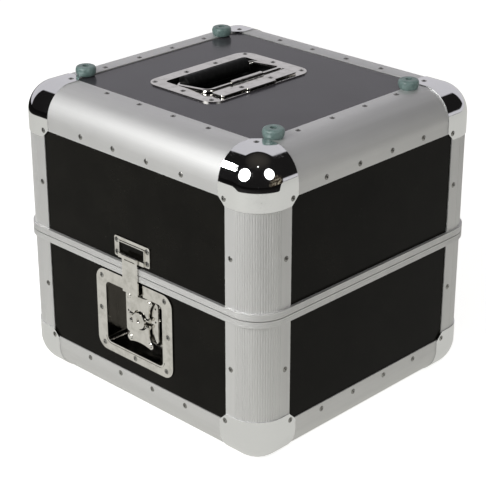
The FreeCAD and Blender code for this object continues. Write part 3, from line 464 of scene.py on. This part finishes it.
class BoardSettings(bpy.types.PropertyGroup):
    """Colours and finish of the boards"""
    side_dark: bpy.props.FloatVectorProperty(
        name="Walls, dark", description="Colour of the wall boards",
        default=linear("0A0907"), **COLOUR)
    side_light: bpy.props.FloatVectorProperty(
        name="Walls, light", description="Colour of their lighter clouds",
        default=linear("11100D"), **COLOUR)
    # The top's colours are lighter than the walls' as painted sheen: they stand in for the lit room that
    # the top mirrors.
    top_sheen_dark: bpy.props.FloatVectorProperty(
        name="Top, dark", description="Colour of the top board, lightened by painted sheen",
        default=linear("302E32"), **COLOUR)
    top_sheen_light: bpy.props.FloatVectorProperty(
        name="Top, light", description="Colour of its lighter clouds",
        default=linear("3A393D"), **COLOUR)
    dust: bpy.props.FloatVectorProperty(
        name="Dust", description="Colour of dust specks",
        default=linear("55534E"), **COLOUR)
    board_roughness: bpy.props.FloatProperty(
        name="Roughness", description="How dull the laminate is", default=0.16, min=0, max=1)
    side_gloss: bpy.props.FloatProperty(
        name="Walls, gloss", description="Strength of the walls' shine", default=0.06, min=0, max=1)
    top_gloss: bpy.props.FloatProperty(
        name="Top, gloss", description="Strength of the top's shine", default=0.25, min=0, max=1)
    film_depth: bpy.props.FloatProperty(
        name="Film texture", description="Depth of the film's texture in millimetres",
        default=0.004, min=0)


class MetalSettings(bpy.types.PropertyGroup):
    """Colours and finish of profiles, corners, latches, handle and rivets"""
    profile_dark: bpy.props.FloatVectorProperty(
        name="Profile, dark", description="Colour of the aluminium",
        default=linear("DADAD9"), **COLOUR)
    profile_light: bpy.props.FloatVectorProperty(
        name="Profile, light", description="Colour of its lighter bands",
        default=linear("E1E1E0"), **COLOUR)
    profile_roughness: bpy.props.FloatProperty(
        name="Profile roughness", description="How dull the profiles are", default=0.6, min=0, max=1)
    brush_depth: bpy.props.FloatProperty(
        name="Brushing", description="Depth of the brushed lines in millimetres", default=0.003, min=0)
    chrome: bpy.props.FloatVectorProperty(
        name="Chrome", description="Colour of the ball corners",
        default=linear("E9EAEA"), **COLOUR)
    chrome_roughness: bpy.props.FloatProperty(
        name="Chrome roughness", description="How dull the ball corners are",
        default=0.03, min=0, max=1)
    plate: bpy.props.FloatVectorProperty(
        name="Plate", description="Colour of latches and handle",
        default=linear("E0DED9"), **COLOUR)
    plate_tarnish: bpy.props.FloatVectorProperty(
        name="Tarnish", description="Colour of dull patches on the plate",
        default=linear("BDBBB5"), **COLOUR)
    dish_wall_shade: bpy.props.FloatVectorProperty(
        name="Dish walls, painted shade", description="Painted shade on the walls of the dishes",
        default=linear("4C4A47"), **COLOUR)
    rivet_light: bpy.props.FloatVectorProperty(
        name="Rivet, light", description="Colour of the rivet heads",
        default=linear("B5B5B1"), **COLOUR)
    rivet_dark: bpy.props.FloatVectorProperty(
        name="Rivet, dark", description="Colour of grime on them",
        default=linear("6E6D6A"), **COLOUR)


class SoftSettings(bpy.types.PropertyGroup):
    """Colours of rubber, tray and foam, and the shape of the foam pads"""
    foot_light: bpy.props.FloatVectorProperty(
        name="Feet, light", description="Colour of the feet",
        default=linear("6C7F7C"), **COLOUR)
    foot_dark: bpy.props.FloatVectorProperty(
        name="Feet, dark", description="Colour in their mottling",
        default=linear("4A5D5A"), **COLOUR)
    # The grip is black rubber, and its colours are darker still as painted shade in the handle's recess.
    grip_shaded_light: bpy.props.FloatVectorProperty(
        name="Grip, light", description="Colour of the handle's black sleeve, darkened by painted recess shade",
        default=linear("0D0D0D"), **COLOUR)
    grip_shaded_dark: bpy.props.FloatVectorProperty(
        name="Grip, dark", description="Colour in its mottling",
        default=linear("070707"), **COLOUR)
    # The tray is black plastic, and its colours are darker still as painted shade in the handle's recess.
    tray_shaded_dark: bpy.props.FloatVectorProperty(
        name="Tray, dark", description="Colour of the handle's black tray, darkened by painted recess shade",
        default=linear("070707"), **COLOUR)
    tray_shaded_light: bpy.props.FloatVectorProperty(
        name="Tray, light", description="Colour of its lighter parts",
        default=linear("0D0D0D"), **COLOUR)
    foam_light: bpy.props.FloatVectorProperty(
        name="Foam", description="Colour of the foam",
        default=linear("3A3A3D"), **COLOUR)
    foam_pore_shade: bpy.props.FloatVectorProperty(
        name="Foam pores, painted shade", description="Painted shade in the pores",
        default=linear("161618"), **COLOUR)
    edge_round: bpy.props.FloatProperty(
        name="Foam edge", description="Rounding of the pads' edges",
        default=3 * MM, unit="LENGTH", min=0)
    dimple_depth: bpy.props.FloatProperty(
        name="Glue dimples", description="Depth of the pads' glue dimples",
        default=0.5 * MM, unit="LENGTH", min=0)
    dimple_pitch: bpy.props.FloatProperty(
        name="Dimple pitch", description="Distance between glue dimples",
        default=42 * MM, unit="LENGTH", min=0)


class StudioSettings(bpy.types.PropertyGroup):
    """Camera, lamps and light of the studio"""
    lens: bpy.props.FloatProperty(
        name="Lens", description="Focal length of the camera",
        default=CAMERA_LENS_MM, unit="CAMERA", min=1)
    front_power: bpy.props.FloatProperty(
        name="Front lamp", description="Power of the round lamp in front",
        default=27, unit="POWER", min=0)
    right_power: bpy.props.FloatProperty(
        name="Right lamp", description="Power of the round lamp at the right",
        default=7, unit="POWER", min=0)
    left_power: bpy.props.FloatProperty(
        name="Left lamp", description="Power of the narrow lamp at the left",
        default=1.2, unit="POWER", min=0)
    small_power: bpy.props.FloatProperty(
        name="Small lamp", description="Power of the small lamp high in front",
        default=0.1, unit="POWER", min=0)
    fill: bpy.props.FloatProperty(
        name="Fill", description="Strength of the light from all round", default=0.4, min=0)
    paper: bpy.props.FloatProperty(
        name="Paper glow", description="How bright metal sees the floor before the lamps light it",
        default=0.56, min=0)


# Operators, one for each group of like pieces

class RECORD_CASE_OT_boards(bpy.types.Operator):
    """Gives the boards their black laminate"""
    bl_idname = "record_case.boards"
    bl_label = "Dress boards"

    def execute(self, context):
        board = context.scene.record_case_boards
        wall = laminate_material("Black phenolic laminate, pressed", board,
                                 board.side_dark, board.side_light, board.side_gloss)
        # The top board's lighter colours are painted sheen.
        top = laminate_material("Black phenolic laminate, scuffed", board,
                                board.top_sheen_dark, board.top_sheen_light, board.top_gloss)
        names = ["base_bottom_board"]
        names += [f"{half}_{side}_board" for half in HALVES for side in (*SIDES, "left", "right")]
        dress(wall, names)
        dress(top, ["lid_top_board"])
        return {"FINISHED"}


class RECORD_CASE_OT_profiles(bpy.types.Operator):
    """Gives edge profiles, posts and closure rails their brushed aluminium"""
    bl_idname = "record_case.profiles"
    bl_label = "Dress profiles"

    def execute(self, context):
        metal = context.scene.record_case_metal
        wide = profile_material("Anodised aluminium, brushed across the width", metal, "x")
        deep = profile_material("Anodised aluminium, brushed front to back", metal, "y")
        upright = profile_material("Anodised aluminium, brushed upright", metal, "z")
        for half in HALVES:
            dress(wide, [f"{half}_{side}_edge" for side in SIDES] + [f"{half}_closure_rail"])
            dress(deep, [f"{half}_{side}_edge" for side in ("left", "right")])
            dress(upright, [f"{half}_{place}_post" for place in PLACES])
        return {"FINISHED"}


class RECORD_CASE_OT_corners(bpy.types.Operator):
    """Gives the ball corners their polished chrome"""
    bl_idname = "record_case.corners"
    bl_label = "Dress ball corners"

    def execute(self, context):
        material = ball_corner_material(context.scene.record_case_metal)
        dress(material, [f"{half}_{place}_corner" for half in HALVES for place in PLACES])
        return {"FINISHED"}


class RECORD_CASE_OT_rivets(bpy.types.Operator):
    """Gives rivets and foot screws their steel"""
    bl_idname = "record_case.rivets"
    bl_label = "Dress rivets"

    def execute(self, context):
        metal = context.scene.record_case_metal
        screw = plate_material(metal, "Zinc plate on steel screws",
                               roughness=0.35, ripple_mm=1.5, depth_mm=0.02)
        dress(rivet_material(metal), ["base_rivets", "lid_rivets"])
        dress(screw, ["lid_foot_screws"])
        return {"FINISHED"}


class RECORD_CASE_OT_feet(bpy.types.Operator):
    """Gives the feet their grey-green rubber"""
    bl_idname = "record_case.feet"
    bl_label = "Dress feet"

    def execute(self, context):
        soft = context.scene.record_case_soft
        material = rubber_material("Grey-green rubber, moulded", soft.foot_light, soft.foot_dark,
                                   roughness=0.34, grain_mm=0.7, grain_depth_mm=0.03, gloss=0.5)
        dress(material, ["lid_feet"])
        return {"FINISHED"}


class RECORD_CASE_OT_handle(bpy.types.Operator):
    """Gives the recessed handle its plate, tray and rubber grip"""
    bl_idname = "record_case.handle"
    bl_label = "Dress handle"

    def execute(self, context):
        metal = context.scene.record_case_metal
        soft = context.scene.record_case_soft
        plate = plate_material(metal, "Nickel chrome on stamped handle",
                               roughness=0.14, ripple_mm=9, depth_mm=0.14)
        rod = plate_material(metal, "Nickel chrome on drawn rod",
                             roughness=0.1, ripple_mm=5, depth_mm=0.02)
        strip = plate_material(metal, "Nickel chrome on rolled hinge strip",
                               roughness=0.12, ripple_mm=5, depth_mm=0.25)
        # The sleeve's colours are black rubber plus painted shade of the recess.
        grip = rubber_material("Black rubber sleeve, moulded", soft.grip_shaded_light, soft.grip_shaded_dark,
                               roughness=0.5, grain_mm=0.8, grain_depth_mm=0.04, gloss=0.15)
        dress(plate, ["handle_plate"])
        dress(strip, ["handle_hinge_strip"])
        dress(rod, ["handle_bail"])
        dress(tray_material(soft), ["handle_tray"])
        dress(grip, ["handle_grip"])
        return {"FINISHED"}


class RECORD_CASE_OT_latches(bpy.types.Operator):
    """Gives the latches and keepers their nickel plate"""
    bl_idname = "record_case.latches"
    bl_label = "Dress latches"

    def execute(self, context):
        metal = context.scene.record_case_metal
        dish = plate_material(metal, "Nickel chrome on drawn dish",
                              roughness=0.1, ripple_mm=8, depth_mm=0.2, drawn=True)
        keeper = plate_material(metal, "Nickel chrome on pressed keeper",
                                roughness=0.1, ripple_mm=8, depth_mm=0.2)
        works = plate_material(metal, "Nickel chrome on stamped latch",
                               roughness=0.1, ripple_mm=6, depth_mm=0.22)
        moving = ("hook", "spindle", "upper_wing", "lower_wing")
        for side in SIDES:
            dress(dish, [f"{side}_latch_dish"])
            dress(keeper, [f"{side}_latch_keeper"])
            dress(works, [f"{side}_latch_{piece}" for piece in moving])
        return {"FINISHED"}


class RECORD_CASE_OT_foam(bpy.types.Operator):
    """Makes the foam pads on the floor and under the top"""
    bl_idname = "record_case.foam"
    bl_label = "Make foam pads"

    def execute(self, context):
        soft = context.scene.record_case_soft
        material = foam_material(soft)
        radius = 10 * MM
        hole_radius = 18 * MM
        core_share = 0.02
        for body, node in (("base", "base_foam"), ("lid", "lid_foam")):
            low, high = [Vector(corner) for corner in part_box(node)]
            centre = (low + high) / 2
            half = (high - low) / 2
            outer = rounded_loop(centre.x, centre.y, half.x, half.y, radius)
            if body == "lid":
                hole_low, hole_high = [Vector(corner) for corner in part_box("handle_plate")]
                hole = (hole_low + hole_high) / 2
                size = (hole_high - hole_low) / 2
                inner = rounded_loop(hole.x, hole.y, size.x, size.y, hole_radius)
            else:
                core = half * core_share
                inner = rounded_loop(centre.x, centre.y, core.x, core.y, radius * core_share)
            pad = make_foam_pad(f"{body}_foam_pad", outer, inner, low.z, high.z, soft)
            place_foam(body, node, pad, material)
        return {"FINISHED"}


# Studio

def studio_direction(azimuth, elevation=0):
    """A direction from the case. Azimuth is counted from -Y towards +X, both in degrees."""
    turn = math.radians(azimuth)
    lift = math.radians(elevation)
    return Vector((math.sin(turn) * math.cos(lift), -math.cos(turn) * math.cos(lift), math.sin(lift)))


def add_lamp(name, azimuth, elevation, distance, shape, width, height, power):
    """An area lamp that faces the near ball corner and stands upright."""
    data = bpy.data.lights.new(name, "AREA")
    data.shape = shape
    data.size = width
    if shape == "RECTANGLE":
        data.size_y = height
    data.energy = power
    lamp = bpy.data.objects.new(name, data)
    out = studio_direction(azimuth, elevation)
    lamp.location = Vector(LAMP_TARGET) + out * distance
    lamp.rotation_mode = "QUATERNION"
    upright = out.cross(Vector((1, 0, 0))).normalized()
    lamp.rotation_quaternion = Matrix((upright.cross(out), upright, out)).transposed().to_quaternion()
    bpy.context.collection.objects.link(lamp)


def world_tree(studio):
    """The case gets an even fill and the camera sees white, while metal mirrors a dark room.

    In the room, paper hangs behind the case, with a low card, some clutter and a dim ceiling beside it.
    """
    world = bpy.data.worlds.new("Studio")
    bpy.context.scene.world = world
    world.use_nodes = True
    tree = world.node_tree
    tree.nodes.clear()
    way = add(tree, "TexCoord", out="Generated")
    height = add(tree, "SeparateXYZ", {"Vector": way}, "Z")

    # The hung paper, on a sheet a metre away: its top edge climbs towards the sides
    behind = add(tree, "VectorMath", {0: way, 1: studio_direction(BACKDROP_AZIMUTH)}, "Value",
                 operation="DOT_PRODUCT")
    aside = add(tree, "VectorMath", {0: way, 1: studio_direction(BACKDROP_AZIMUTH - 90)}, "Value",
                operation="DOT_PRODUCT")
    ahead = add(tree, "Math", {0: behind, 1: 0.001}, operation="MAXIMUM")
    slant = add(tree, "Math", {0: aside, 1: ahead}, operation="DIVIDE")
    slant = add(tree, "Math", {0: slant}, operation="ABSOLUTE")
    steep = add(tree, "Math", {0: height, 1: ahead}, operation="DIVIDE")
    top = add(tree, "Math", {0: slant, 1: -BACKDROP_CLIMB, 2: steep}, operation="MULTIPLY_ADD")
    drop = add(tree, "MapRange", {"Value": top, **BACKDROP_TOP, **FALLING})
    width = add(tree, "MapRange", {"Value": slant, **BACKDROP_WIDTH, **FALLING})
    paper = add(tree, "Math", {0: width, 1: drop}, operation="MULTIPLY")

    # The card, cut off above
    card = add(tree, "VectorMath", {0: way, 1: studio_direction(*CARD_PLACE)}, "Value",
               operation="DOT_PRODUCT")
    card = add(tree, "MapRange", {"Value": card, **CARD_SIZE})
    low = add(tree, "MapRange", {"Value": height, **CARD_TOP, **FALLING})
    card = add(tree, "Math", {0: card, 1: low}, operation="MULTIPLY")
    white = add(tree, "Math", {0: paper, 1: card}, operation="MAXIMUM")

    # The clutter and the ceiling
    clutter = add(tree, "TexNoise", {"Vector": way, "Scale": CLUTTER_SCALE, "Detail": 6.0,
                                     "Roughness": 0.75})
    things = add(tree, "MapRange", {"Value": clutter, **CLUTTER_SPAN})
    things = add(tree, "Mix", {SHARE: things, FIRST: linear("2A211B"), SECOND: linear("B7AE9A")},
                 MIXED, data_type="RGBA")
    spread = add(tree, "VectorMath", {0: way, 1: studio_direction(*CLUTTER_PLACE)}, "Value",
                 operation="DOT_PRODUCT")
    spread = add(tree, "MapRange", {"Value": spread, **CLUTTER_SIZE})
    ceiling = add(tree, "MapRange", {"Value": height, **CEILING_EDGE})
    walls = add(tree, "Mix", {SHARE: ceiling, FIRST: linear("1B1A1A"), SECOND: linear("3C3935")},
                MIXED, data_type="RGBA")
    room = add(tree, "Mix", {SHARE: spread, FIRST: walls, SECOND: things}, MIXED, data_type="RGBA")
    room = add(tree, "Mix", {SHARE: white, FIRST: room, SECOND: linear("CFCDD2")}, MIXED,
               data_type="RGBA")

    # What each kind of ray sees
    mirrored = add(tree, "Background", {"Color": room, "Strength": 1.0})
    fill = add(tree, "Background", {"Color": linear("F6F5F4"), "Strength": studio.fill})
    shown = add(tree, "Background", {"Color": linear("FFFFFF"), "Strength": 1.0})
    glossy = add(tree, "LightPath", out="Is Glossy Ray")
    camera = add(tree, "LightPath", out="Is Camera Ray")
    through = add(tree, "LightPath", out="Is Transmission Ray")
    light = add(tree, "MixShader", {0: glossy, 1: fill, 2: mirrored})
    seen = add(tree, "Math", {0: camera, 1: through}, operation="MAXIMUM")
    final = add(tree, "MixShader", {0: seen, 1: light, 2: shown})
    add(tree, "OutputWorld", {"Surface": final})


def floor_material(studio):
    """Matt white paper. The camera sees it lit to white; metal sees it end in front of the case."""
    fibre_mm = 2
    fibre_depth_mm = 0.02

    material, tree, place = start_material("White paper, matt")
    fibre = add(tree, "TexNoise", {"Vector": place, "Scale": per_metre(fibre_mm), "Detail": 3.0})
    tone = add(tree, "MapRange", {"Value": fibre, **NOISE_SPAN})
    colour = add(tree, "Mix", {SHARE: tone, FIRST: linear("F0F0EE"), SECOND: linear("F4F4F2")}, MIXED,
                 data_type="RGBA")
    normal = add(tree, "Bump", {"Height": fibre, "Strength": 1.0, "Distance": fibre_depth_mm * MM})
    surface = add(tree, "BsdfPrincipled", {"Base Color": colour, "Roughness": 0.9, "Normal": normal,
                                           "Specular IOR Level": 0.0})

    # Beside the case the mirrored paper runs on a little, and towards the back it runs far on
    away = add(tree, "VectorMath", {0: place, 1: (LAMP_TARGET[0], LAMP_TARGET[1], 0)},
               operation="SUBTRACT")
    reach = add(tree, "VectorMath", {0: away}, "Value", operation="LENGTH")
    forward = add(tree, "VectorMath", {0: away, 1: studio_direction(FRONT_AZIMUTH)}, "Value",
                  operation="DOT_PRODUCT")
    beside = add(tree, "MapRange", {"Value": forward, **FRONT_EDGE, "To Min": BESIDE_EXTRA,
                                    "To Max": 0.0})
    past = add(tree, "Math", {0: reach, 1: beside}, operation="SUBTRACT")
    turned = add(tree, "VectorMath", {0: away, 1: studio_direction(BACK_AZIMUTH)}, "Value",
                 operation="DOT_PRODUCT")
    turned = add(tree, "Math", {0: turned, 1: reach}, operation="DIVIDE")
    turned = add(tree, "MapRange", {"Value": turned, **BACK_EDGE, "To Max": BACK_EXTRA})
    past = add(tree, "Math", {0: past, 1: turned}, operation="SUBTRACT")
    edge = add(tree, "MapRange", {"Value": past, **PAPER_END})

    # What each kind of ray sees
    dark = add(tree, "BsdfDiffuse", {"Color": linear("1E1D1D")})
    grey_paper = add(tree, "BsdfDiffuse", {"Color": linear("6A6A67")})
    paper_glow = add(tree, "Emission", {"Color": linear("FAF9F4"), "Strength": studio.paper})
    white_glow = add(tree, "Emission", {"Color": linear("FFFFFF"), "Strength": WHITE_GLOW})
    mirrored = add(tree, "AddShader", {0: grey_paper, 1: paper_glow})
    mirrored = add(tree, "MixShader", {0: edge, 1: mirrored, 2: dark})
    shown = add(tree, "AddShader", {0: surface, 1: white_glow})
    camera = add(tree, "LightPath", out="Is Camera Ray")
    glossy = add(tree, "LightPath", out="Is Glossy Ray")
    final = add(tree, "MixShader", {0: camera, 1: surface, 2: shown})
    final = add(tree, "MixShader", {0: glossy, 1: final, 2: mirrored})
    add(tree, "OutputMaterial", {"Surface": final})
    return material


def make_floor(studio):
    """A square of paper just below the case."""
    mesh = bpy.data.meshes.new("floor")
    signs = ((-1, -1), (1, -1), (1, 1), (-1, 1))
    corners = [(x * FLOOR_REACH, y * FLOOR_REACH, 0) for x, y in signs]
    mesh.from_pydata(corners, [], [(0, 1, 2, 3)])
    floor = bpy.data.objects.new("floor", mesh)
    floor.location.z = -FLOOR_DROP
    floor.data.materials.append(floor_material(studio))
    bpy.context.collection.objects.link(floor)


def make_camera(studio):
    """The camera at the photo's place."""
    data = bpy.data.cameras.new("camera")
    data.lens = studio.lens
    data.sensor_width = SENSOR_MM
    data.clip_end = VIEW_END
    camera = bpy.data.objects.new("camera", data)
    turn = math.radians(CAMERA_AZIMUTH)
    dip = math.radians(CAMERA_DIP)
    roll = Matrix.Rotation(math.radians(-CAMERA_ROLL), 3, "Z")
    ahead = Vector((math.sin(turn) * math.cos(dip), math.cos(turn) * math.cos(dip), -math.sin(dip)))
    facing = ahead.to_track_quat("-Z", "Y").to_matrix() @ roll
    camera.rotation_mode = "QUATERNION"
    camera.rotation_quaternion = facing.to_quaternion()
    camera.location = CAMERA_PLACE
    bpy.context.collection.objects.link(camera)
    bpy.context.scene.camera = camera


class RECORD_CASE_OT_stage(bpy.types.Operator):
    """Makes the floor, the lamps, the light from all round and the camera"""
    bl_idname = "record_case.stage"
    bl_label = "Make studio"

    def execute(self, context):
        studio = context.scene.record_case_studio
        make_floor(studio)
        world_tree(studio)
        for *place, power in LAMPS:
            add_lamp(*place, getattr(studio, power))
        make_camera(studio)
        context.scene.view_settings.view_transform = "Standard"
        return {"FINISHED"}


OPERATORS = (
    RECORD_CASE_OT_boards,
    RECORD_CASE_OT_profiles,
    RECORD_CASE_OT_corners,
    RECORD_CASE_OT_rivets,
    RECORD_CASE_OT_feet,
    RECORD_CASE_OT_handle,
    RECORD_CASE_OT_latches,
    RECORD_CASE_OT_foam,
    RECORD_CASE_OT_stage,
)
SETTINGS = (
    (BoardSettings, "record_case_boards"),
    (MetalSettings, "record_case_metal"),
    (SoftSettings, "record_case_soft"),
    (StudioSettings, "record_case_studio"),
)


class RECORD_CASE_PT_panel(bpy.types.Panel):
    """Lists the settings and the operators"""
    bl_label = "Record case"
    bl_idname = "RECORD_CASE_PT_panel"
    bl_space_type = "VIEW_3D"
    bl_region_type = "UI"
    bl_category = "Record case"

    def draw(self, context):
        for group, name in SETTINGS:
            settings = getattr(context.scene, name)
            column = self.layout.column(align=True)
            for key in group.__annotations__:
                column.prop(settings, key)
        for operator in OPERATORS:
            self.layout.operator(operator.bl_idname)


def register():
    for group, name in SETTINGS:
        bpy.utils.register_class(group)
        setattr(bpy.types.Scene, name, bpy.props.PointerProperty(type=group))
    for operator in OPERATORS:
        bpy.utils.register_class(operator)
    bpy.utils.register_class(RECORD_CASE_PT_panel)


def unregister():
    bpy.utils.unregister_class(RECORD_CASE_PT_panel)
    for operator in reversed(OPERATORS):
        bpy.utils.unregister_class(operator)
    for group, name in reversed(SETTINGS):
        delattr(bpy.types.Scene, name)
        bpy.utils.unregister_class(group)


def main():
    register()
    for operator in OPERATORS:
        getattr(bpy.ops.record_case, operator.bl_idname.split(".")[1])()


if __name__ == "__main__":
    main()
